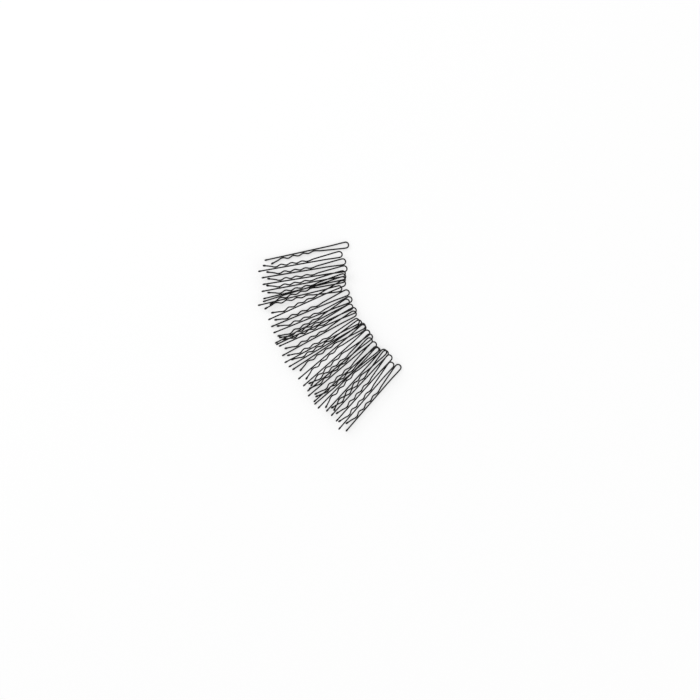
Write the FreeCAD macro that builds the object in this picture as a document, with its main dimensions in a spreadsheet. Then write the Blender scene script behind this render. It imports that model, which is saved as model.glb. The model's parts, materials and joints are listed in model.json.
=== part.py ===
import FreeCAD, Part
import math
import os
import Sketcher
from FreeCAD import Placement, Rotation, Vector

# Driving sizes, in millimetres. Places along a pin are measured from the closed end of its loop,
# and heights from the middle of its straight leg's wire.
SIZES = {
    # flat steel wire: its thickness lies in the pin's plane, its width across it
    "wire_thickness": 0.8,
    "wire_width": 1.2,
    # whole pin and its closed loop
    "pin_length": 50.0,
    "loop_width": 4.2,
    # straight leg, which bows out a little from here to the loop
    "bow_start": 12.0,
    "bow_drop": 0.25,
    # wavy leg: a shoulder, then troughs that all but touch the straight leg, with crests between
    "leg_gap": 0.05,
    "shoulder_place": 17.6,
    "shoulder_rise": 0.62,
    "first_touch": 21.0,
    "wave_pitch": 6.05,
    "wave_rise": 0.7,
    "wave_growth": 0.12,
    "crimp_flat": 1.0,
    # flared end of the wavy leg, which stops short of the straight leg
    "tip_setback": 3.2,
    "flare_knee": 3.1,
    "flare_knee_rise": 0.85,
    "flare_rise": 1.97,
    # resin bead on each tip, which grips the end of the wire
    "bead_wall": 0.08,
    "bead_length": 1.9,
    "bead_grip": 1.3,
    "bead_chamfer": 0.4,
    # vertical clearance between the layers of the fan
    "layer_gap": 0.06,
}
WAVES = 3
BEAD_SIDES = 8

# Each pin of the fan, from the top of the picture down: picture coordinates of its loop's end and of
# its straight leg's tip, the side that its wavy leg lies on (1 above or left of the straight leg, -1
# below or right of it) and its layer, counted from the surface that the fan lies on. The unit is a
# share of a pin's length: a pin is 86.5 of them long.
UNIT_SHARE = 1 / 86.5
FAN_PLACES = [
    (348.8, 244.7, 265.5, 260.5, -1, 0),
    (342.2, 254.7, 259.6, 271.9, 1, 2),
    (345.9, 261.8, 262.7, 278.2, 1, 1),
    (347.4, 269.1, 263.8, 285.1, 1, 3),
    (345.9, 273.8, 262.5, 292.0, 1, 2),
    (345.6, 276.7, 264.6, 299.0, 1, 1),
    (344.5, 279.4, 264.8, 301.6, -1, 0),
    (342.0, 288.5, 259.0, 305.8, -1, 1),
    (347.0, 282.2, 267.9, 320.8, 1, 2),
    (349.7, 292.0, 271.7, 327.1, 1, 0),
    (352.8, 298.8, 273.7, 333.5, 1, 1),
    (350.3, 300.6, 274.9, 344.0, 1, 0),
    (353.6, 306.1, 276.5, 345.3, 1, 2),
    (356.7, 309.7, 279.5, 346.8, 1, 1),
    (356.5, 313.0, 282.8, 356.1, 1, 0),
    (360.9, 319.9, 284.1, 363.8, 1, 2),
    (362.5, 321.5, 288.7, 367.8, 1, 1),
    (365.7, 324.8, 292.8, 370.4, -1, 0),
    (366.0, 326.0, 298.8, 379.7, -1, 2),
    (370.8, 330.5, 302.8, 387.4, -1, 3),
    (371.6, 336.3, 308.9, 390.8, 1, 0),
    (372.7, 338.8, 308.2, 397.1, 1, 1),
    (377.0, 342.5, 313.7, 402.9, 1, 2),
    (379.9, 347.1, 314.0, 405.7, 1, 0),
    (380.5, 348.0, 317.9, 409.4, -1, 3),
    (387.4, 349.3, 325.8, 413.0, -1, 0),
    (388.9, 350.6, 330.9, 417.2, 1, 1),
    (392.6, 354.8, 335.7, 422.8, 1, 2),
    (394.3, 362.0, 338.3, 430.8, 1, 3),
    (401.7, 364.4, 345.6, 433.0, 1, 0),
]


class Size:
    """A length worked out from named sizes: its value, and the expression that binds it."""

    def __init__(self, value, text):
        self.value = value
        self.text = text

    def __add__(self, other):
        return Size(self.value + other.value, f"({self.text} + {other.text})")

    def __sub__(self, other):
        return Size(self.value - other.value, f"({self.text} - {other.text})")

    def __mul__(self, factor):
        return Size(self.value * factor, f"{self.text} * ({factor:.9f})")


def size(name):
    return Size(SIZES[name], f"Sizes.{name}")


def half_wire():
    return size("wire_thickness") * 0.5


def loop_radius():
    """Radius of the loop's centreline."""
    return size("loop_width") * 0.5 - half_wire()


def loop_centre():
    return size("loop_width") * 0.5, loop_radius() - size("bow_drop")


def trough_height():
    """Height of the wavy leg's centreline where it all but touches the straight leg."""
    return size("wire_thickness") + size("leg_gap")


def wire_end(bead_end):
    """Place where a leg's wire ends inside a bead that ends at the given place."""
    return bead_end - size("bead_length") + size("bead_grip")


def straight_path():
    """Corners of the straight leg's centreline, past the loop."""
    level = Size(0, "0")
    return [(size("bow_start"), level), (wire_end(size("pin_length")), level)]


def wavy_path():
    """Corners of the wavy leg's centreline, past the loop: each crimp has a short flat."""
    half_flat = size("crimp_flat") * 0.5
    last_touch = size("first_touch") + size("wave_pitch") * WAVES
    path = [(size("shoulder_place"), trough_height() + size("shoulder_rise"))]
    for step in range(2 * WAVES + 1):
        place = size("first_touch") + size("wave_pitch") * (step / 2)
        height = trough_height()
        if step % 2:
            height = height + size("wave_rise") + size("wave_growth") * (step // 2)
        path += [(place - half_flat, height), (place + half_flat, height)]
    path.append((last_touch + size("flare_knee"), trough_height() + size("flare_knee_rise")))
    tip = wire_end(size("pin_length") - size("tip_setback"))
    return path + [(tip, trough_height() + size("flare_rise"))]


def slope(first, second):
    return math.atan2(second[1].value - first[1].value, second[0].value - first[0].value)


def loop_slope(path, side):
    """Direction of the straight stretch from the loop, tangent to it, to the first corner."""
    centre = loop_centre()
    reach = math.hypot(path[0][0].value - centre[0].value, path[0][1].value - centre[1].value)
    return slope(centre, path[0]) - side * math.asin(loop_radius().value / reach)


def normal(angle):
    return Vector(-math.sin(angle), math.cos(angle), 0)


def edge_corners(path, slopes, side):
    """Corners of one edge of the wire, mitred half a thickness off its centreline."""
    corners = []
    for i, (x, y) in enumerate(path):
        before = normal(slopes[i])
        after = normal(slopes[min(i + 1, len(slopes) - 1)])
        shift = (before + after) * (side / (1 + before.dot(after)))
        corners.append((x + half_wire() * shift.x, y + half_wire() * shift.y))
    return corners


def bind(sketch, constraint, name, length):
    index = sketch.addConstraint(constraint)
    sketch.renameConstraint(index, name)
    sketch.setExpression(f"Constraints.{name}", length.text)


def place_point(sketch, geometry, point, name, place):
    x, y = place
    bind(sketch, Sketcher.Constraint("DistanceX", -1, 1, geometry, point, x.value), name + "_x", x)
    bind(sketch, Sketcher.Constraint("DistanceY", -1, 1, geometry, point, y.value), name + "_y", y)


def add_line(sketch, start, end):
    return sketch.addGeometry(Part.LineSegment(start, end))


def join(sketch, kind, first, first_point, second, second_point):
    sketch.addConstraint(Sketcher.Constraint(kind, first, first_point, second, second_point))


def add_loop_arc(sketch, angle, side, edge, name):
    """Quarter of the loop from its closed end to where the leg leaves it at the given direction."""
    x, y = loop_centre()
    radius = loop_radius() + half_wire() * edge
    circle = Part.Circle(Vector(x.value, y.value, 0), Vector(0, 0, 1), radius.value)
    split = side * math.pi
    leave = angle + side * math.pi / 2
    arc = sketch.addGeometry(Part.ArcOfCircle(circle, *sorted((split, leave))))
    bind(sketch, Sketcher.Constraint("Radius", arc, radius.value), name + "_radius", radius)
    return arc


def add_edge(sketch, path, slopes, side, edge, name):
    """One edge of a leg: its loop arc, then the lines through its corners.

    Side 1 is the leg that passes over the loop's centre and -1 the one that passes under it. Edge 1
    is the outer edge of the loop and -1 its inner edge.
    """
    arc = add_loop_arc(sketch, slopes[0], side, edge, name)
    leave_point = 1 if side > 0 else 2
    corners = edge_corners(path, slopes, side * edge)
    start = sketch.getPoint(arc, leave_point)
    lines = []
    for i, corner in enumerate(corners):
        end = Vector(corner[0].value, corner[1].value, 0)
        line = add_line(sketch, start, end)
        if lines:
            join(sketch, "Coincident", lines[-1], 2, line, 1)
        else:
            join(sketch, "Tangent", arc, leave_point, line, 1)
        place_point(sketch, line, 2, f"{name}_{i + 1}", corner)
        lines.append(line)
        start = end
    return arc, lines


def draw_leg(sketch, path, side):
    """Closed outline of a leg: half of the loop, the crimps and the end that its bead grips."""
    slopes = [loop_slope(path, side)] + [slope(a, b) for a, b in zip(path, path[1:])]
    outer_arc, outer_lines = add_edge(sketch, path, slopes, side, 1, "outer")
    inner_arc, inner_lines = add_edge(sketch, path, slopes, side, -1, "inner")
    place_point(sketch, outer_arc, 3, "loop", loop_centre())
    join(sketch, "Coincident", outer_arc, 3, inner_arc, 3)
    split_point = 2 if side > 0 else 1
    ends = ((outer_arc, split_point, inner_arc, split_point), (outer_lines[-1], 2, inner_lines[-1], 2))
    for first, first_point, second, second_point in ends:
        start = sketch.getPoint(first, first_point)
        cap = add_line(sketch, start, sketch.getPoint(second, second_point))
        join(sketch, "Coincident", first, first_point, cap, 1)
        join(sketch, "Coincident", cap, 2, second, second_point)
        if first == outer_arc:
            sketch.addConstraint(Sketcher.Constraint("Horizontal", cap))
            height = loop_centre()[1]
            split = Sketcher.Constraint("DistanceY", -1, 1, cap, 1, height.value)
            bind(sketch, split, "split_height", height)


def add_sheet(doc):
    sheet = doc.addObject("Spreadsheet::Sheet", "Sizes")
    for row, (name, value) in enumerate(SIZES.items(), 1):
        sheet.set(f"A{row}", name)
        sheet.set(f"B{row}", str(value))
        sheet.setAlias(f"B{row}", name)
    doc.recompute()


def new_sketch(body, name, role):
    sketch = body.newObject("Sketcher::SketchObject", name)
    plane = next(part for part in body.Origin.OriginFeatures if part.Role == role)
    sketch.AttachmentSupport = (plane, "")
    sketch.MapMode = "FlatFace"
    return sketch


def wire_body(doc, name, path, side):
    """One leg of flat wire, centred on the pin's middle plane."""
    body = doc.addObject("PartDesign::Body", name)
    sketch = new_sketch(body, name + "_outline", "XY_Plane")
    draw_leg(sketch, path, side)
    pad = body.newObject("PartDesign::Pad", name + "_pad")
    pad.Profile = sketch
    pad.SideType = "Symmetric"
    pad.setExpression("Length", "Sizes.wire_width")
    return body


def bead_across():
    """Width of a bead over its flats: the flat wire's diagonal and a wall on either side."""
    diagonal = math.hypot(SIZES["wire_thickness"], SIZES["wire_width"])
    text = "sqrt(Sizes.wire_thickness * Sizes.wire_thickness + Sizes.wire_width * Sizes.wire_width)"
    return Size(diagonal, text) + size("bead_wall") * 2


def bead_body(doc, name):
    """Faceted bead along X, with its free end chamfered."""
    body = doc.addObject("PartDesign::Body", name)
    sketch = new_sketch(body, name + "_outline", "YZ_Plane")
    turn = 2 * math.pi / BEAD_SIDES
    radius = bead_across() * (0.5 / math.cos(turn / 2))
    round_one = Part.Circle(Vector(0, 0, 0), Vector(0, 0, 1), radius.value)
    circle = sketch.addGeometry(round_one, True)
    join(sketch, "Coincident", circle, 3, -1, 1)
    bind(sketch, Sketcher.Constraint("Radius", circle, radius.value), "corner_radius", radius)
    angles = [turn * (i + 0.5) for i in range(BEAD_SIDES)]
    corners = [Vector(math.cos(a), math.sin(a), 0) * radius.value for a in angles]
    sides = [add_line(sketch, a, b) for a, b in zip(corners, corners[1:] + corners[:1])]
    for first, second in zip(sides, sides[1:] + sides[:1]):
        join(sketch, "Coincident", first, 2, second, 1)
        sketch.addConstraint(Sketcher.Constraint("PointOnObject", first, 2, circle))
    for other in sides[1:]:
        sketch.addConstraint(Sketcher.Constraint("Equal", sides[0], other))
    sketch.addConstraint(Sketcher.Constraint("Vertical", sides[-1]))
    pad = body.newObject("PartDesign::Pad", name + "_pad")
    pad.Profile = sketch
    pad.setExpression("Length", "Sizes.bead_length")
    doc.recompute()
    free_end = max(range(len(pad.Shape.Faces)), key=lambda i: pad.Shape.Faces[i].CenterOfMass.x)
    chamfer = body.newObject("PartDesign::Chamfer", name + "_chamfer")
    chamfer.Base = (pad, [f"Face{free_end + 1}"])
    chamfer.setExpression("Size", "Sizes.bead_chamfer")
    body.Tip = chamfer
    return body


def leg_form(doc, name, path, side):
    """A whole leg as two solids: the wire, and the bead that is moulded round its end."""
    wire = wire_body(doc, name + "_wire", path, side)
    bead = bead_body(doc, name + "_bead_blank")
    angle = slope(path[-2], path[-1])
    along = Vector(math.cos(angle), math.sin(angle), 0)
    tip = Vector(path[-1][0].value, path[-1][1].value, 0)
    mouth = tip - along * SIZES["bead_grip"]
    bead.Placement = Placement(mouth, Rotation(Vector(0, 0, 1), math.degrees(angle)))
    socket = doc.addObject("Part::Cut", name + "_bead")
    socket.Base = bead
    socket.Tool = wire
    form = doc.addObject("Part::Compound", name)
    form.Links = [wire, socket]
    return form


def picture_place(x, y):
    """A picture coordinate on the surface that the fan lies on, with Y up the picture."""
    return Vector(x, -y, 0) * (SIZES["pin_length"] * UNIT_SHARE)


def heading(place):
    return math.degrees(math.atan2(place.y, place.x))


def pin_placement(pin):
    """Where a pin lies: its middle and its direction are the picture's, and its length is the real one."""
    loop_x, loop_y, tip_x, tip_y, side, layer = pin
    loop = picture_place(loop_x, loop_y)
    tip = picture_place(tip_x, tip_y)
    own_loop = Vector(0, loop_centre()[1].value, 0)
    own_tip = Vector(SIZES["pin_length"], 0, 0)
    over = Rotation(Vector(1, 0, 0), 180 if side > 0 else 0)
    turn = heading(tip - loop) - heading(over.multVec(own_tip - own_loop))
    rotation = Rotation(Vector(0, 0, 1), turn).multiply(over)
    base = (loop + tip) * 0.5 - rotation.multVec((own_loop + own_tip) * 0.5)
    pile = bead_across().value + SIZES["layer_gap"]
    return Placement(base + Vector(0, 0, bead_across().value / 2 + layer * pile), rotation)


def fan_middle(pieces):
    """Middle of the fan's outline, seen from above."""
    box = FreeCAD.BoundBox()
    for piece in pieces:
        box.add(piece.Shape.optimalBoundingBox())
    return Vector(box.Center.x, box.Center.y, 0)


def check(doc, pieces):
    failed = [obj.Name for obj in doc.Objects if {"Invalid", "Error"} & set(obj.State)]
    failed += [piece.Name for piece in pieces if piece.Shape.isNull() or not piece.Shape.isValid()]
    if failed:
        raise RuntimeError("failed objects: " + ", ".join(failed))


def main():
    doc = FreeCAD.newDocument("bobby_pin_fan")
    add_sheet(doc)
    forms = {
        "straight_leg": leg_form(doc, "straight_leg_form", straight_path(), -1),
        "wavy_leg": leg_form(doc, "wavy_leg_form", wavy_path(), 1),
    }
    pieces = []
    for number, pin in enumerate(FAN_PLACES, 1):
        for leg, form in forms.items():
            piece = doc.addObject("Part::Compound", f"pin_{number:02d}_{leg}")
            piece.Links = [form]
            piece.Placement = pin_placement(pin)
            pieces.append(piece)
    doc.recompute()
    middle = fan_middle(pieces)
    for piece in pieces:
        piece.Placement.Base = piece.Placement.Base - middle
    doc.recompute()
    check(doc, pieces)
    os.makedirs("parts", exist_ok=True)
    for piece in pieces:
        piece.Shape.exportStep(f"parts/{piece.Label}.step")


main()
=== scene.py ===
"""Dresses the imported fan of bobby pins: enamelled wires, sprung loops and resin tips."""

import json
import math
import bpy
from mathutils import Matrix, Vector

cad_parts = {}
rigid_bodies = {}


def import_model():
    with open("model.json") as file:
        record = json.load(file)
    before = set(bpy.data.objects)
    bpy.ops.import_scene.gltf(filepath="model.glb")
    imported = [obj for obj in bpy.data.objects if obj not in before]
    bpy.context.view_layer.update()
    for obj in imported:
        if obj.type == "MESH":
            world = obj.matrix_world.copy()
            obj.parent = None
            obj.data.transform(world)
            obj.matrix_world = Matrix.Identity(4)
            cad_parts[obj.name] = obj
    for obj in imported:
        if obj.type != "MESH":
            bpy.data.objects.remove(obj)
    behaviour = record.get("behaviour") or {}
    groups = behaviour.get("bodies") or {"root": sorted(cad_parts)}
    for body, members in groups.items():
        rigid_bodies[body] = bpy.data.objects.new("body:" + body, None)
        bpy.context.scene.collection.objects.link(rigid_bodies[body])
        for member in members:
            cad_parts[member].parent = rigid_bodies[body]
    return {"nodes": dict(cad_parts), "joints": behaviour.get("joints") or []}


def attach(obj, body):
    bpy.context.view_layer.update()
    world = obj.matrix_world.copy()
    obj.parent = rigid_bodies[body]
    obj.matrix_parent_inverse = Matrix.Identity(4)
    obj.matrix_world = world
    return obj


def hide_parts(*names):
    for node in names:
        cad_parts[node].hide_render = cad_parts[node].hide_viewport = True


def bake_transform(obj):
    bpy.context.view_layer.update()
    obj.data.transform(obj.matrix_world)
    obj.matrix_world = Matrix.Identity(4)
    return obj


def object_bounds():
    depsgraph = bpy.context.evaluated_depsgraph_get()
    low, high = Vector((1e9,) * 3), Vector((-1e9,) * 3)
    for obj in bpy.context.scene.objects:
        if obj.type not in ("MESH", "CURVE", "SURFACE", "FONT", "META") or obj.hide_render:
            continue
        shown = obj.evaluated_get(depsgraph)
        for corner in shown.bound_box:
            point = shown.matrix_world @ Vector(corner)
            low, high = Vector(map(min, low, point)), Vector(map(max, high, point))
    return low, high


bl_info = {
    "name": "Bobby Pin Fan",
    "version": (1, 0, 0),
    "blender": (4, 5, 0),
    "location": "3D View > Sidebar > Bobby Pins",
    "description": "Builds the wires, loops and resin tips of a fan of bobby pins on its frame",
    "category": "Object",
}

import bpy
from bpy.props import FloatProperty, FloatVectorProperty, IntProperty, PointerProperty
from mathutils import Matrix, Vector

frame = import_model()
CAD_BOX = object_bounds()
HINGES = {joint["child"]: joint for joint in frame["joints"] if joint["type"] == "hinge"}
PINS = sorted(joint["parent"] for joint in HINGES.values())

# Points along each wire, round a quarter of its rolled edge, and round and along a bead.
STRAIGHT_POINTS, WAVY_POINTS, LOOP_POINTS = 46, 150, 60
EDGE_POINTS = 4
BEAD_SEGMENTS, BEAD_RINGS = 28, 18

# A point of the wire's section is on its edge when it lies within this share of the rounding.
EDGE_INSET_SHARE = 0.75

# Faces that meet at more than this angle keep a crisp edge between them.
CRISP_ANGLE = math.radians(45)

# The wavy leg: how softly it leaves the loop, and how far before its shoulder it starts to settle.
LEAD_SOFTNESS = 0.07
SETTLE_LEAD = 0.0006

# Share of the loop's points on each of the two short legs that lead into its bend.
LOOP_LEAD_SHARE = 0.24

# The bead: its half width with room for ripples, by its width; the power that squares its
# section; where on a ball from -1 to 1 its neck starts and ends; its lip round the wire.
BEAD_HALF_WIDTH_SHARE = 0.49
BEAD_SQUARENESS = -0.22
NECK_START, NECK_END = -0.35, 0.85
BEAD_LIP = 0.00006
RIPPLE_SEED_STEP, RIPPLE_SCALE, RIPPLE_DEPTH = 1.7, 1.3, 0.04

# Step back along the wavy wire that gives its slope at its end.
SLOPE_STEP = 0.0005

# Numbers of the random draws that make crests and beads differ from pin to pin.
CREST_DRAW, BEAD_THICKNESS_DRAW, BEAD_WIDTH_DRAW = 1, 2, 3

# How far the seed moves a pin through the noise of its finish.
SEED_SHIFT = 0.013

# Corners of a solid leg this near to its far end belong to its end face.
END_FACE_DEPTH = 0.00012

# How exposed to wear the wire is: on its edges, on the edges of a crest, and on a crest.
EDGE_WEAR, CREST_EDGE_WEAR, CREST_WEAR = 0.55, 0.45, 0.2

# Rubbed spots: how uneven they are, and the wear at which a coating is thin or rubbed through.
SPOT_CONTRAST = 0.9
THIN_FROM, THIN_FULL = 0.05, 0.4
THROUGH_FROM, THROUGH_FULL = 0.42, 0.5

# Roughness of each coating by itself, and what each kind of mark adds to it.
ENAMEL_ROUGHNESS, RESIN_ROUGHNESS = 0.2, 0.12
SMUDGE_ROUGHNESS, LINE_ROUGHNESS, RIM_ROUGHNESS = 0.12, 0.2, 0.15
THIN_ENAMEL_ROUGHNESS, THIN_RESIN_ROUGHNESS = 0.12, 0.15
ENAMEL_SPECULAR, RESIN_SPECULAR = 0.3, 0.35

# The floor: half its side, the size and tint of its fibres, and how far it turns from paper to
# plain white where it is seen.
FLOOR_REACH = 3.0
FIBRE_SCALE, FIBRE_TINT = 900.0, 0.02
FLOOR_GLOW = 0.65

# The world: its light on the pins, and the shade overhead that only gloss reflects, which grows
# between two heights of the direction that is looked in.
WORLD_LIGHT = 0.75
OPENING_SHADE = 0.8
OPENING_EDGE, OPENING_MIDDLE = 0.1, 0.8

# Each lamp's name, place, share of the key light's power, and side.
LAMPS = (
    ("key_lamp", (-0.9, 0.9, 1.1), 1.0, 0.9),
    ("fill_lamp", (1.1, -0.7, 0.9), 0.4, 1.1),
)

SENSOR_WIDTH = 36
COLUMN_WIDTH, ROW_HEIGHT = 220, 190


# ---------------------------------------------------------------- sizes and colours


def length(name, millimetres, description):
    """A size in the pin's own frame. Places along the pin start at the loop's closed end."""
    return FloatProperty(
        name=name, description=description, default=millimetres / 1000, unit="LENGTH", precision=5
    )


def share(name, value, description, most=1.0):
    return FloatProperty(
        name=name, description=description, default=value, min=0, max=most, subtype="FACTOR"
    )


def colour(name, value, description):
    return FloatVectorProperty(
        name=name, description=description, default=(*value, 1), size=4, min=0, max=1,
        subtype="COLOR",
    )


class PinSizes(bpy.types.PropertyGroup):
    """The sizes that every pin of the fan shares."""

    pin_length: length("Pin length", 50, "From the loop's closed end to the longer tip's end")
    wire_thickness: length("Wire thickness", 0.8, "Thickness of the wire, in the pin's plane")
    wire_width: length("Wire width", 1.2, "Width of the flat wire, across the pin's plane")
    wire_rounding: length("Wire rounding", 0.2, "Radius of the rolled edges of the wire")
    loop_width: length("Loop width", 4.2, "Outer width of the loop")
    loop_reach: length("Loop reach", 4.5, "Place where the loop's bend ends and the legs begin")
    bow_start: length("Bow start", 12, "Place from which the straight leg bows out to the loop")
    bow_drop: length("Bow drop", 0.25, "How far the straight leg bows out")
    leg_gap: length("Leg gap", 0.05, "Gap between the legs where they all but touch")
    shoulder_place: length("Shoulder place", 17.6, "Place of the shoulder of the wavy leg")
    shoulder_rise: length("Shoulder rise", 0.62, "Height of the shoulder above the troughs")
    first_touch: length("First touch", 21, "Place of the first trough")
    wave_pitch: length("Wave pitch", 6.05, "Distance from one trough to the next")
    wave_rise: length("Wave rise", 0.7, "Height of the first crest above the troughs")
    wave_growth: length("Wave growth", 0.12, "How much higher each crest is than the one before")
    waves: IntProperty(
        name="Waves", description="Crests between the troughs", default=3, min=1, max=6
    )
    flare_knee: length("Flare knee", 3.1, "Distance from the last trough to the knee of the flare")
    knee_rise: length("Knee rise", 0.85, "Height of the knee above the troughs")
    flare_rise: length("Flare rise", 1.97, "Height of the wavy wire's end above the troughs")
    tip_setback: length("Tip setback", 3.2, "How far the wavy leg stops short of the straight one")
    bead_width: length("Bead width", 1.6, "Widest part of the resin bead, across the pin")
    bead_flatness: share(
        "Bead flatness", 0.76, "Thickness of the straight leg's bead in the pin's plane, by width"
    )
    wavy_bead_flatness: share(
        "Wavy bead flatness", 0.86, "The same for the wavy leg, whose tip is dipped deeper"
    )
    bead_length: length("Bead length", 2.6, "Length of the resin bead")
    bead_grip: length("Bead grip", 2.0, "How far the wire reaches into the bead")
    unevenness: share("Unevenness", 0.03, "How much crests and beads differ from pin to pin", 0.2)


class Finishes(bpy.types.PropertyGroup):
    """Colours and wear of the pins."""

    enamel: colour("Enamel", (0.004, 0.004, 0.0045), "Baked enamel on the wire")
    thin_enamel: colour("Thin enamel", (0.016, 0.014, 0.013), "Enamel where it has drawn thin")
    steel: colour("Bare steel", (0.2, 0.185, 0.17), "Spring steel where the enamel is rubbed off")
    resin: colour("Resin", (0.003, 0.003, 0.0035), "Dipped resin of the tips")
    wear: share("Wear", 0.35, "How much the enamel is rubbed along its edges")


class StageSizes(bpy.types.PropertyGroup):
    """Floor, light and camera."""

    floor_colour: colour("Floor", (0.97, 0.97, 0.97), "Plain pale floor")
    key_power: FloatProperty(
        name="Key light", description="Power of the large soft lamp", default=9, min=0, unit="POWER"
    )
    lens: FloatProperty(
        name="Lens", description="Focal length in millimetres", default=85, min=20, max=200
    )
    picture_width: length("Picture width", 404.62, "Width of what the camera sees at the fan")
    centre_x: length("Centre X", 11.77, "Middle of the picture, measured from the fan's middle")
    centre_y: length("Centre Y", -7.71, "Middle of the picture, measured from the fan's middle")


# ---------------------------------------------------------------- writing node trees


class Field:
    """A value inside a node tree. Sums with it add Math nodes."""

    def __init__(self, board, socket):
        self.board = board
        self.socket = socket

    def __add__(self, other):
        return self.board.math("ADD", self, other)

    def __radd__(self, other):
        return self.board.math("ADD", other, self)

    def __sub__(self, other):
        return self.board.math("SUBTRACT", self, other)

    def __rsub__(self, other):
        return self.board.math("SUBTRACT", other, self)

    def __mul__(self, other):
        return self.board.math("MULTIPLY", self, other)

    def __rmul__(self, other):
        return self.board.math("MULTIPLY", other, self)

    def __truediv__(self, other):
        return self.board.math("DIVIDE", self, other)

    def __rtruediv__(self, other):
        return self.board.math("DIVIDE", other, self)

    def __neg__(self):
        return self.board.math("MULTIPLY", self, -1)


class Board:
    """A node tree that is written one node at a time."""

    def __init__(self, tree):
        self.tree = tree
        self.source = None

    def add(self, kind, inputs=None, output=0, **settings):
        """Adds a node and gives one of its outputs. Sockets go by number, identifier or name."""
        node = self.tree.nodes.new(kind)
        for name, value in settings.items():
            setattr(node, name, value)
        for name, value in (inputs or {}).items():
            self.feed(socket_of(node.inputs, name), value)
        return Field(self, socket_of(node.outputs, output))

    def feed(self, socket, value):
        if isinstance(value, Field):
            self.tree.links.new(value.socket, socket)
        else:
            socket.default_value = value

    def math(self, operation, *values, clamp=False):
        kind = "ShaderNodeMath"
        return self.add(kind, dict(enumerate(values)), operation=operation, use_clamp=clamp)

    def ease(self, value, start, end):
        """0 before start, 1 after end, and a smooth rise between them."""
        inputs = {"Value": value, "From Min": start, "From Max": end}
        return self.add("ShaderNodeMapRange", inputs, interpolation_type="SMOOTHSTEP")

    def ramp(self, value, start, end, low, high):
        """Low before start, high after end, and a straight rise between them."""
        inputs = {"Value": value, "From Min": start, "From Max": end, "To Min": low, "To Max": high}
        return self.add("ShaderNodeMapRange", inputs)

    def vector(self, x, y, z):
        return self.add("ShaderNodeCombineXYZ", {"X": x, "Y": y, "Z": z})

    def noise(self, place, scale, detail):
        return self.add("ShaderNodeTexNoise", {"Vector": place, "Scale": scale, "Detail": detail})

    def parts(self, vector):
        node = self.tree.nodes.new("ShaderNodeSeparateXYZ")
        self.feed(node.inputs[0], vector)
        return [Field(self, output) for output in node.outputs]

    def mix(self, amount, first, second):
        """Mixes two colours."""
        node = self.tree.nodes.new("ShaderNodeMix")
        node.data_type = "RGBA"
        self.feed(node.inputs["Factor"], amount)
        colours = [socket for socket in node.inputs if socket.type == "RGBA"]
        self.feed(colours[0], first)
        self.feed(colours[1], second)
        return Field(self, next(out for out in node.outputs if out.type == "RGBA"))

    def __getitem__(self, name):
        """An input of the tree."""
        if self.source is None:
            self.source = self.tree.nodes.new("NodeGroupInput")
        return Field(self, self.source.outputs[name])

    def finish(self, **outputs):
        """Feeds the tree's outputs and lays its nodes out in columns, from left to right."""
        sink = self.tree.nodes.new("NodeGroupOutput")
        for name, value in outputs.items():
            self.feed(sink.inputs[name.replace("_", " ").capitalize()], value)
        self.arrange()
        return self.tree

    def arrange(self):
        column = {node.name: 0 for node in self.tree.nodes}
        for _ in self.tree.nodes:
            moved = False
            for link in self.tree.links:
                place = column[link.from_node.name] + 1
                if place > column[link.to_node.name]:
                    column[link.to_node.name] = place
                    moved = True
            if not moved:
                break
        rows = {}
        for node in self.tree.nodes:
            row = rows.setdefault(column[node.name], 0)
            rows[column[node.name]] += 1
            node.location = (column[node.name] * COLUMN_WIDTH, row * -ROW_HEIGHT)


def socket_of(sockets, name):
    if isinstance(name, int):
        return sockets[name]
    return next((socket for socket in sockets if socket.identifier == name), None) or sockets[name]


def new_board(name, kind, inputs, outputs):
    tree = bpy.data.node_groups.new(name, kind)
    for label, socket, value in inputs:
        item = tree.interface.new_socket(label, in_out="INPUT", socket_type="NodeSocket" + socket)
        if value is not None:
            item.default_value = value
    for label, socket in outputs:
        tree.interface.new_socket(label, in_out="OUTPUT", socket_type="NodeSocket" + socket)
    return Board(tree)


# ---------------------------------------------------------------- shape of the wire


def shape_board(name, *extra):
    """A geometry tree with every size of the pin as a named input."""
    inputs = [("Material", "Material", None), ("Seed", "Int", 0), *extra]
    for key, prop in PinSizes.bl_rna.properties.items():
        if prop.type in ("FLOAT", "INT") and key in PinSizes.__annotations__:
            inputs.append((prop.name, "Int" if prop.type == "INT" else "Float", prop.default))
    return new_board(name, "GeometryNodeTree", inputs, [("Geometry", "Geometry")])


def loop_radius(board):
    """Radius of the loop's centreline."""
    return (board["Loop width"] - board["Wire thickness"]) * 0.5


def straight_height(board, x):
    """Height of the straight leg's centreline, which bows out towards the loop."""
    return -board["Bow drop"] * (1 - board.ease(x, board["Loop width"] * 0.5, board["Bow start"]))


def trough_height(board):
    return board["Wire thickness"] + board["Leg gap"]


def wave_crest(board, x):
    """Height of the crimped waves over the troughs: a crest in each pitch, each a little higher."""
    turn = board.math("MAXIMUM", (x - board["First touch"]) / board["Wave pitch"], 0)
    turn = board.math("MINIMUM", turn, board["Waves"])
    rise = board["Wave rise"] + board["Wave growth"] * (turn - 0.5)
    return rise * (1 - board.math("COSINE", turn * (2 * math.pi))) * 0.5


def uneven(board, draw):
    """A factor a little under 1 that differs from pin to pin."""
    draw = board.add("FunctionNodeInputInt", integer=draw)
    inputs = {"Min_001": 1 - board["Unevenness"], "Max_001": 1.0, "ID": draw, "Seed": board["Seed"]}
    return board.add("FunctionNodeRandomValue", inputs, output="Value_001", data_type="FLOAT")


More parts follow.
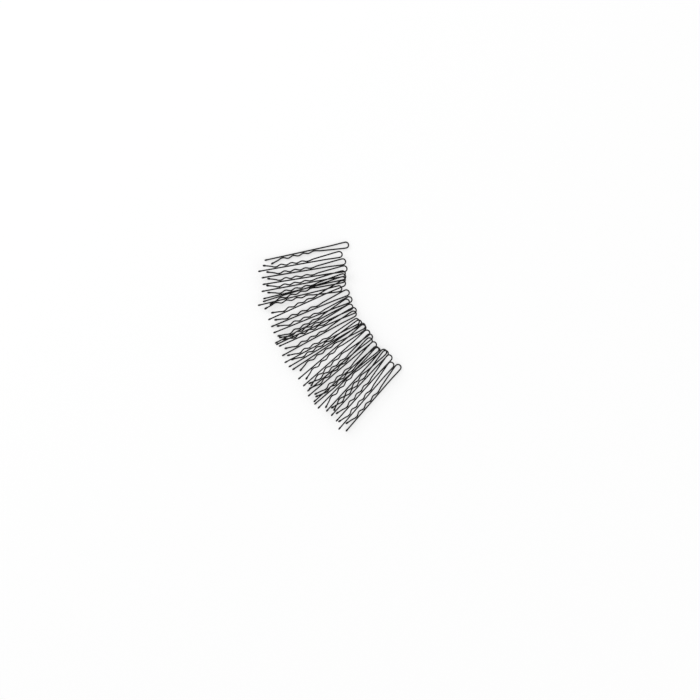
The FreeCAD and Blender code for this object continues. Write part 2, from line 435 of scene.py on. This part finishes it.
def wavy_height(board, x):
    """Height of the wavy leg's centreline: lead from the loop, shoulder, waves and flare."""
    low = trough_height(board)
    middle = board["Loop width"] * 0.5
    top = loop_radius(board) * 2 - board["Bow drop"]
    run = (x - middle) / (board["Shoulder place"] - middle)
    soft = LEAD_SOFTNESS
    fall = (board.math("SQRT", run * run + soft * soft) - soft) / (math.hypot(1, soft) - soft)
    lead = top - (top - low - board["Shoulder rise"]) * fall
    settle = board.ease(x, board["Shoulder place"] - SETTLE_LEAD, board["First touch"])
    lead = lead + (low - lead) * settle
    past = board.math(
        "MAXIMUM", x - board["First touch"] - board["Wave pitch"] * board["Waves"], 0
    )
    end = wavy_end(board) - board["First touch"] - board["Wave pitch"] * board["Waves"]
    slope = (board["Flare rise"] - board["Knee rise"]) / (end - board["Flare knee"])
    flare = board["Knee rise"] + (past - board["Flare knee"]) * slope
    flare = flare * board.ease(past, 0.0, board["Flare knee"])
    return lead + wave_crest(board, x) * uneven(board, CREST_DRAW) + flare


def straight_end(board):
    """Place of the end of the straight wire, inside its bead."""
    return board["Pin length"] - board["Bead length"] + board["Bead grip"]


def wavy_end(board):
    return straight_end(board) - board["Tip setback"]


def line_along(board, start, end, count):
    """A straight run of points from one place along the pin to another, and the place of each."""
    line = board.add(
        "GeometryNodeCurvePrimitiveLine",
        {"Start": board.vector(start, 0.0, 0.0), "End": board.vector(end, 0.0, 0.0)},
    )
    line = board.add("GeometryNodeResampleCurve", {"Curve": line, "Count": count})
    return line, board.parts(board.add("GeometryNodeInputPosition"))[0]


def keep(board, geometry, name, value, kind="FLOAT"):
    """Stores a value on the points, for the finishes."""
    return board.add(
        "GeometryNodeStoreNamedAttribute",
        {"Geometry": geometry, "Name": name, "Value": value}, data_type=kind, domain="POINT",
    )


def own_place(board, geometry):
    """Stores each point's place in its pin, moved by the seed, so that no two pins look alike."""
    shift = board.vector(0.0, 0.0, board["Seed"] * SEED_SHIFT)
    place = board.add(
        "ShaderNodeVectorMath",
        {0: board.add("GeometryNodeInputPosition"), 1: shift}, operation="ADD",
    )
    return keep(board, geometry, "own_place", place, "FLOAT_VECTOR")


def smooth_and_finish(board, mesh):
    """Smooth faces with crisp edges at the ends, and the material."""
    mesh = own_place(board, mesh)
    mesh = board.add("GeometryNodeSetShadeSmooth", {"Geometry": mesh, "Shade Smooth": True})
    sharp = board.math("GREATER_THAN", board.add("GeometryNodeInputMeshEdgeAngle"), CRISP_ANGLE)
    mesh = board.add(
        "GeometryNodeSetShadeSmooth",
        {"Geometry": mesh, "Selection": sharp, "Shade Smooth": False}, domain="EDGE",
    )
    mesh = board.add("GeometryNodeRealizeInstances", {"Geometry": mesh})
    mesh = board.add("GeometryNodeSetMaterial", {"Geometry": mesh, "Material": board["Material"]})
    return board.finish(geometry=mesh)


def sweep_wire(board, path, position, rub):
    """Lays the path out and sweeps the wire's flat section, with its rolled edges, along it."""
    path = board.add("GeometryNodeSetPosition", {"Geometry": path, "Position": position})
    path = keep(board, path, "rub", rub)
    path = board.add("GeometryNodeSetCurveNormal", {"Curve": path}, mode="Z_UP")
    section = board.add(
        "GeometryNodeCurvePrimitiveQuadrilateral",
        {"Width": board["Wire thickness"], "Height": board["Wire width"]},
    )
    section = board.add(
        "GeometryNodeFilletCurve",
        {"Curve": section, "Radius": board["Wire rounding"], "Count": EDGE_POINTS}, mode="POLY",
    )
    x, y, _ = board.parts(board.add("GeometryNodeInputPosition"))
    inset = board["Wire rounding"] * EDGE_INSET_SHARE
    near_x, near_y = (
        board.math("GREATER_THAN", board.math("ABSOLUTE", place), board[side] * 0.5 - inset)
        for place, side in ((x, "Wire thickness"), (y, "Wire width"))
    )
    section = keep(board, section, "edge", near_x * near_y)
    mesh = board.add(
        "GeometryNodeCurveToMesh", {"Curve": path, "Profile Curve": section, "Fill Caps": True}
    )
    return smooth_and_finish(board, mesh)


def straight_tree():
    board = shape_board("Straight wire")
    path, x = line_along(board, board["Loop reach"], straight_end(board), STRAIGHT_POINTS)
    return sweep_wire(board, path, board.vector(x, straight_height(board, x), 0.0), 0.25)


def wavy_tree():
    board = shape_board("Wavy wire")
    path, x = line_along(board, board["Loop reach"], wavy_end(board), WAVY_POINTS)
    rub = wave_crest(board, x) / board["Wave rise"]
    return sweep_wire(board, path, board.vector(x, wavy_height(board, x), 0.0), rub)


def loop_tree():
    """One path from the straight leg, round the loop and back to the wavy leg."""
    board = shape_board("Loop wire")
    path, _ = line_along(board, 0.0, board["Loop width"], LOOP_POINTS)
    way = board.add("GeometryNodeSplineParameter")
    middle = board["Loop width"] * 0.5
    radius = loop_radius(board)
    run = board["Loop reach"] - middle
    start, end = LOOP_LEAD_SHARE, 1 - LOOP_LEAD_SHARE
    x_before = middle + run * board.ramp(way, 0.0, start, 1.0, 0.0)
    x_after = middle + run * board.ramp(way, end, 1.0, 0.0, 1.0)
    turn = board.ramp(way, start, end, 0.0, math.pi)
    x = x_before + x_after - middle - radius * board.math("SINE", turn)
    y = radius - board["Bow drop"] - radius * board.math("COSINE", turn)
    y = y + straight_height(board, x_before) + board["Bow drop"]
    y = y + wavy_height(board, x_after) - radius * 2 + board["Bow drop"]
    return sweep_wire(board, path, board.vector(x, y, 0.0), board.math("SINE", turn))


def bead_tree():
    """A drop of resin round the end of the wire, drawn in to the wire's section at its mouth."""
    board = shape_board("Resin bead", ("On wavy leg", "Float", 0.0))
    wavy = board["On wavy leg"]
    end = straight_end(board) - board["Tip setback"] * wavy
    height = wavy_height(board, end) * wavy
    rise = height - wavy_height(board, end - SLOPE_STEP) * wavy
    lean = board.math("ARCTAN2", rise, SLOPE_STEP)
    ball = board.add(
        "GeometryNodeMeshUVSphere",
        {"Segments": BEAD_SEGMENTS, "Rings": BEAD_RINGS, "Radius": 1.0},
    )
    x, y, z = board.parts(board.add("GeometryNodeInputPosition"))
    out = board.math("MAXIMUM", board.math("SQRT", x * x + y * y), 0.01)
    full = board.math("POWER", out, BEAD_SQUARENESS)
    neck = board.ease(-z, NECK_START, NECK_END)
    flatness = board["Bead flatness"] * (1 - wavy) + board["Wavy bead flatness"] * wavy
    half = board["Bead width"] * BEAD_HALF_WIDTH_SHARE
    thick = half * flatness * uneven(board, BEAD_THICKNESS_DRAW)
    wide = half * uneven(board, BEAD_WIDTH_DRAW)
    wire_thick = board["Wire thickness"] * 0.5 + BEAD_LIP
    wire_wide = board["Wire width"] * 0.5 + BEAD_LIP
    side = x * full * (thick + (wire_thick - thick) * neck)
    across = y * full * (wide + (wire_wide - wide) * neck)
    tip = board["Bead length"] - board["Bead grip"]
    along = tip - board["Bead length"] * (1 - z) * 0.5
    ripple = board.add(
        "ShaderNodeTexNoise",
        {"W": board["Seed"] * RIPPLE_SEED_STEP, "Scale": RIPPLE_SCALE, "Detail": 1.0},
        noise_dimensions="4D",
    )
    swell = (1 - RIPPLE_DEPTH) + RIPPLE_DEPTH * ripple
    ball = board.add(
        "GeometryNodeSetPosition",
        {"Geometry": ball, "Position": board.vector(along, side * swell, across * swell)},
    )
    ball = board.add(
        "GeometryNodeTransform",
        {"Geometry": ball, "Translation": board.vector(end, height, 0.0),
         "Rotation": board.vector(0.0, 0.0, lean)},
    )
    ball = keep(board, ball, "neck", neck)
    return smooth_and_finish(board, ball)


# ---------------------------------------------------------------- finishes


def marks_group():
    """Drawing lines, smudges and grain of a coated wire, at their real size."""
    board = new_board(
        "Handling marks", "ShaderNodeTree",
        [("Place", "Vector", None), ("Stretch", "Float", 0.08), ("Line size", "Float", 0.00012),
         ("Smudge size", "Float", 0.004)],
        [("Lines", "Float"), ("Smudges", "Float"), ("Grain", "Float")],
    )
    stretched = board.add(
        "ShaderNodeVectorMath",
        {0: board["Place"], 1: board.vector(board["Stretch"], 1.0, 1.0)}, operation="MULTIPLY",
    )
    fine = board.noise(stretched, 1 / board["Line size"], 3.0)
    broad = board.noise(board["Place"], 1 / board["Smudge size"], 4.0)
    grain = board.noise(board["Place"], 0.4 / board["Line size"], 1.0)
    return board.finish(
        lines=board.ease(fine, 0.6, 0.75), smudges=board.ease(broad, 0.35, 0.7), grain=grain
    )


def rub_group():
    """Where a coating has rubbed thin or through: a broken line that follows what is exposed."""
    board = new_board(
        "Rubbed spots", "ShaderNodeTree",
        [("Place", "Vector", None), ("Exposed", "Float", 0.0), ("Wear", "Float", 0.3),
         ("Spot size", "Float", 0.0006)],
        [("Thin", "Float"), ("Through", "Float")],
    )
    spots = board.noise(board["Place"], 1 / board["Spot size"], 5.0)
    worn = board["Exposed"] * board["Wear"] + (spots - 0.5) * SPOT_CONTRAST
    return board.finish(
        thin=board.ease(worn, THIN_FROM, THIN_FULL),
        through=board.ease(worn, THROUGH_FROM, THROUGH_FULL),
    )


def group(board, tree, inputs):
    """Places a node group in a material and gives its outputs by name."""
    node = board.tree.nodes.new("ShaderNodeGroup")
    node.node_tree = tree
    for name, value in inputs.items():
        board.feed(node.inputs[name], value)
    return {output.name: Field(board, output) for output in node.outputs}


def new_material(name):
    material = bpy.data.materials.new(name)
    material.use_nodes = True
    material.node_tree.nodes.clear()
    return material, Board(material.node_tree)


def show(board, surface, kind="ShaderNodeOutputMaterial"):
    board.feed(board.tree.nodes.new(kind).inputs["Surface"], surface)
    board.arrange()


def read(board, name, output):
    return board.add("ShaderNodeAttribute", output=output, attribute_name=name)


def enamel_material(colours):
    """Baked black enamel on spring steel: glossy, thin on the edges and rubbed on the crests."""
    material, board = new_material("black_enamel_wire")
    place = read(board, "own_place", "Vector")
    edge, crest = read(board, "edge", "Fac"), read(board, "rub", "Fac")
    marks = group(board, bpy.data.node_groups["Handling marks"], {"Place": place})
    exposed = edge * EDGE_WEAR + edge * crest * CREST_EDGE_WEAR + crest * CREST_WEAR
    rubbed = group(
        board, bpy.data.node_groups["Rubbed spots"],
        {"Place": place, "Exposed": exposed, "Wear": colours.wear},
    )
    skin = board.mix(rubbed["Thin"], colours.enamel, colours.thin_enamel)
    skin = board.mix(marks["Smudges"] * 0.25, skin, colours.thin_enamel)
    skin = board.mix(rubbed["Through"], skin, colours.steel)
    height = marks["Grain"] * 0.5 - marks["Lines"] * 0.35 - rubbed["Through"] * 0.8
    rough = ENAMEL_ROUGHNESS + marks["Smudges"] * SMUDGE_ROUGHNESS
    rough = rough + marks["Lines"] * LINE_ROUGHNESS + rubbed["Thin"] * THIN_ENAMEL_ROUGHNESS
    bump = board.add("ShaderNodeBump", {"Height": height, "Strength": 0.5, "Distance": 0.00002})
    surface = board.add(
        "ShaderNodeBsdfPrincipled",
        {"Base Color": skin, "Metallic": rubbed["Through"] * 0.9, "Roughness": rough,
         "Specular IOR Level": ENAMEL_SPECULAR, "Normal": bump},
    )
    show(board, surface)
    return material


def resin_material(colours):
    """Dipped resin: deeper and glossier than the enamel, with a dull rim at its mouth."""
    material, board = new_material("black_resin_tip")
    place = read(board, "own_place", "Vector")
    neck = read(board, "neck", "Fac")
    marks = group(
        board, bpy.data.node_groups["Handling marks"],
        {"Place": place, "Stretch": 1.0, "Line size": 0.0003, "Smudge size": 0.0015},
    )
    rubbed = group(
        board, bpy.data.node_groups["Rubbed spots"],
        {"Place": place, "Exposed": 0.25 + neck * 0.5, "Wear": colours.wear, "Spot size": 0.0009},
    )
    skin = board.mix(rubbed["Thin"] * 0.5, colours.resin, colours.thin_enamel)
    rough = RESIN_ROUGHNESS + marks["Smudges"] * SMUDGE_ROUGHNESS
    rough = rough + neck * RIM_ROUGHNESS + rubbed["Thin"] * THIN_RESIN_ROUGHNESS
    height = marks["Grain"] * 0.6 + marks["Lines"] * 0.15
    bump = board.add("ShaderNodeBump", {"Height": height, "Strength": 0.4, "Distance": 0.00003})
    surface = board.add(
        "ShaderNodeBsdfPrincipled",
        {"Base Color": skin, "Roughness": rough, "Specular IOR Level": RESIN_SPECULAR,
         "Normal": bump},
    )
    show(board, surface)
    return material


def floor_material(stage):
    """White paper that keeps a faint shadow where the camera sees it."""
    material, board = new_material("white_paper_floor")
    fibre = board.noise(board.add("ShaderNodeTexCoord", output="Object"), FIBRE_SCALE, 3.0)
    fibre = board.ease(fibre, 0.3, 0.7) * FIBRE_TINT
    tone = board.mix(fibre, stage.floor_colour, (0.9, 0.9, 0.89, 1))
    paper = board.add("ShaderNodeBsdfDiffuse", {"Color": tone})
    white = board.add("ShaderNodeEmission", {"Color": (1, 1, 1, 1), "Strength": 1.0})
    surface = board.add("ShaderNodeMixShader", {0: seen(board) * FLOOR_GLOW, 1: paper, 2: white})
    show(board, surface)
    return material


def path_ray(board, kind):
    return board.add("ShaderNodeLightPath", output=kind)


def seen(board):
    """1 where the camera sees a surface, by itself, in gloss or through glass."""
    ray = path_ray(board, "Is Camera Ray")
    for kind in ("Is Glossy Ray", "Is Transmission Ray"):
        ray = board.math("MAXIMUM", ray, path_ray(board, kind))
    return ray


# ---------------------------------------------------------------- placing the pieces


def middle_of_loop(sizes):
    """Height of the loop's middle over the straight leg, where the hinge of the wavy leg is."""
    return (sizes.loop_width - sizes.wire_thickness) / 2 - sizes.bow_drop


def pin_frame(pin):
    """The pin's own frame: x from the loop to the tips, y to its wavy leg, z across it."""
    sizes = bpy.context.scene.pin_sizes
    hinge = HINGES[pin + "_spring_leg"]
    apex, across = Vector(hinge["pos_m"]), Vector(hinge["axis"])
    leg = frame["nodes"][pin + "_straight_leg"].data
    corners = {tuple(round(c, 7) for c in vertex.co) for vertex in leg.vertices}
    corners = [Vector(corner) for corner in corners]
    far = (max(corners, key=lambda corner: (corner - apex).length) - apex).normalized()
    reach = max(corner.dot(far) for corner in corners)
    end = [corner for corner in corners if corner.dot(far) > reach - END_FACE_DEPTH]
    tip = sum(end, Vector()) / len(end)
    middle = middle_of_loop(sizes)
    along = (tip - apex).normalized()
    along = Matrix.Rotation(math.atan2(middle, sizes.pin_length), 3, across) @ along
    up = across.cross(along)
    place = Matrix((along, up, across)).transposed().to_4x4()
    place.translation = apex - up * middle
    return place


def set_inputs(modifier, values):
    """Gives the tree's inputs their values, by the identifiers of their sockets."""
    for item in modifier.node_group.interface.items_tree:
        if item.in_out == "INPUT" and item.name in values:
            modifier[item.identifier] = values[item.name]


def size_values():
    """Every size of the pin, by the name of the tree's input."""
    sizes = bpy.context.scene.pin_sizes
    return {
        prop.name: getattr(sizes, key)
        for key, prop in sizes.bl_rna.properties.items() if key in PinSizes.__annotations__
    }


def make_piece(name, tree, material, pin, **inputs):
    """Evaluates the tree for one pin and leaves its result as a plain mesh in the pin's place."""
    piece = bpy.data.objects.new(name, bpy.data.meshes.new(name))
    bpy.context.scene.collection.objects.link(piece)
    modifier = piece.modifiers.new("shape", "NODES")
    modifier.node_group = tree
    seed = PINS.index(pin) + 1
    values = {**size_values(), "Material": material, "Seed": seed}
    values.update({key.replace("_", " ").capitalize(): value for key, value in inputs.items()})
    set_inputs(modifier, values)
    graph = bpy.context.evaluated_depsgraph_get()
    mesh = bpy.data.meshes.new_from_object(
        piece.evaluated_get(graph), preserve_all_data_layers=True, depsgraph=graph
    )
    piece.modifiers.remove(modifier)
    blank, piece.data = piece.data, mesh
    bpy.data.meshes.remove(blank)
    mesh.name = name
    mesh.transform(pin_frame(pin))
    return piece


class StageOperator(bpy.types.Operator):
    """Lays the floor and sets the lamps, the world and the camera"""

    bl_idname = "bobby_pins.stage"
    bl_label = "Stage"

    def execute(self, context):
        stage = context.scene.stage_sizes
        floor = bpy.data.meshes.new("floor")
        corners = ((-1, -1), (1, -1), (1, 1), (-1, 1))
        corners = [(x * FLOOR_REACH, y * FLOOR_REACH, 0) for x, y in corners]
        floor.from_pydata(corners, [], [(0, 1, 2, 3)])
        floor.materials.append(floor_material(stage))
        floor = bpy.data.objects.new("floor", floor)
        context.scene.collection.objects.link(floor)
        self.light_world(context)
        for name, place, power_share, side in LAMPS:
            lamp = bpy.data.lights.new(name, "AREA")
            lamp.energy, lamp.size = stage.key_power * power_share, side
            lamp = bpy.data.objects.new(name, lamp)
            lamp.location = place
            lamp.rotation_euler = (-Vector(place)).to_track_quat("-Z", "Y").to_euler()
            context.scene.collection.objects.link(lamp)
        camera = bpy.data.cameras.new("camera")
        camera.lens, camera.sensor_width = stage.lens, SENSOR_WIDTH
        camera.clip_start, camera.clip_end = 0.01, 20
        camera = bpy.data.objects.new("camera", camera)
        height = stage.picture_width * stage.lens / SENSOR_WIDTH
        camera.location = (stage.centre_x, stage.centre_y, height + CAD_BOX[1][2] / 2)
        context.scene.collection.objects.link(camera)
        context.scene.camera = camera
        context.scene.view_settings.view_transform = "Standard"
        return {"FINISHED"}

    def light_world(self, context):
        """White all round. What gloss reflects darkens overhead, like a light tent's opening."""
        world = context.scene.world or bpy.data.worlds.new("studio")
        context.scene.world = world
        world.use_nodes = True
        world.node_tree.nodes.clear()
        board = Board(world.node_tree)
        facing_up = board.parts(board.add("ShaderNodeTexCoord", output="Generated"))[2]
        opening = board.ease(facing_up, OPENING_EDGE, OPENING_MIDDLE)
        opening = opening * path_ray(board, "Is Glossy Ray")
        strength = WORLD_LIGHT + seen(board) * (1 - WORLD_LIGHT) - opening * OPENING_SHADE
        light = board.add("ShaderNodeBackground", {"Color": (1, 1, 1, 1), "Strength": strength})
        show(board, light, "ShaderNodeOutputWorld")


class FinishesOperator(bpy.types.Operator):
    """Makes the enamel and the resin"""

    bl_idname = "bobby_pins.finishes"
    bl_label = "Finishes"

    def execute(self, context):
        marks_group()
        rub_group()
        enamel_material(context.scene.pin_finishes)
        resin_material(context.scene.pin_finishes)
        return {"FINISHED"}


class StraightWiresOperator(bpy.types.Operator):
    """Makes the smooth wire of each pin"""

    bl_idname = "bobby_pins.straight_wires"
    bl_label = "Straight wires"

    def execute(self, context):
        tree, enamel = straight_tree(), bpy.data.materials["black_enamel_wire"]
        for pin in PINS:
            wire = make_piece(pin + "_straight_wire", tree, enamel, pin)
            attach(wire, pin)
            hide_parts(pin + "_straight_leg")
        return {"FINISHED"}


class WavyWiresOperator(bpy.types.Operator):
    """Makes the crimped wire of each pin"""

    bl_idname = "bobby_pins.wavy_wires"
    bl_label = "Wavy wires"

    def execute(self, context):
        tree, enamel = wavy_tree(), bpy.data.materials["black_enamel_wire"]
        for pin in PINS:
            wire = make_piece(pin + "_wavy_wire", tree, enamel, pin)
            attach(wire, pin + "_spring_leg")
            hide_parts(pin + "_wavy_leg")
        return {"FINISHED"}


class LoopsOperator(bpy.types.Operator):
    """Makes the sprung loop of each pin"""

    bl_idname = "bobby_pins.loops"
    bl_label = "Loops"

    def execute(self, context):
        tree, enamel = loop_tree(), bpy.data.materials["black_enamel_wire"]
        for pin in PINS:
            loop = make_piece(pin + "_loop", tree, enamel, pin)
            place = pin_frame(pin)
            pin + "_spring_leg"
            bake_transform(loop)
        return {"FINISHED"}


class BeadsOperator(bpy.types.Operator):
    """Makes the resin bead on each tip"""

    bl_idname = "bobby_pins.beads"
    bl_label = "Resin tips"

    def execute(self, context):
        tree, resin = bead_tree(), bpy.data.materials["black_resin_tip"]
        for pin in PINS:
            for leg, body, wavy in (("straight", pin, 0.0), ("wavy", pin + "_spring_leg", 1.0)):
                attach(make_piece(f"{pin}_{leg}_bead", tree, resin, pin, on_wavy_leg=wavy), body)
        return {"FINISHED"}


class BobbyPinPanel(bpy.types.Panel):
    """Sizes and colours of the fan, and a button for each of its pieces"""

    bl_idname = "VIEW3D_PT_bobby_pins"
    bl_label = "Bobby Pins"
    bl_space_type = "VIEW_3D"
    bl_region_type = "UI"
    bl_category = "Bobby Pins"

    def draw(self, context):
        for label, name, settings in (
            ("Sizes", "pin_sizes", PinSizes), ("Finishes", "pin_finishes", Finishes),
            ("Stage", "stage_sizes", StageSizes),
        ):
            box = self.layout.box()
            box.label(text=label)
            for key in settings.__annotations__:
                box.prop(getattr(context.scene, name), key)
        column = self.layout.column(align=True)
        for operator in OPERATORS:
            column.operator(operator.bl_idname)


SETTINGS = {"pin_sizes": PinSizes, "pin_finishes": Finishes, "stage_sizes": StageSizes}
OPERATORS = (
    StageOperator, FinishesOperator, StraightWiresOperator, WavyWiresOperator, LoopsOperator,
    BeadsOperator,
)


def register():
    for item in (*SETTINGS.values(), *OPERATORS, BobbyPinPanel):
        bpy.utils.register_class(item)
    for name, settings in SETTINGS.items():
        setattr(bpy.types.Scene, name, PointerProperty(type=settings))


def unregister():
    for name in SETTINGS:
        delattr(bpy.types.Scene, name)
    for item in (BobbyPinPanel, *reversed(OPERATORS), *SETTINGS.values()):
        bpy.utils.unregister_class(item)


def main():
    register()
    bpy.ops.bobby_pins.stage()
    bpy.ops.bobby_pins.finishes()
    bpy.ops.bobby_pins.straight_wires()
    bpy.ops.bobby_pins.wavy_wires()
    bpy.ops.bobby_pins.loops()
    bpy.ops.bobby_pins.beads()


if __name__ == "__main__":
    main()
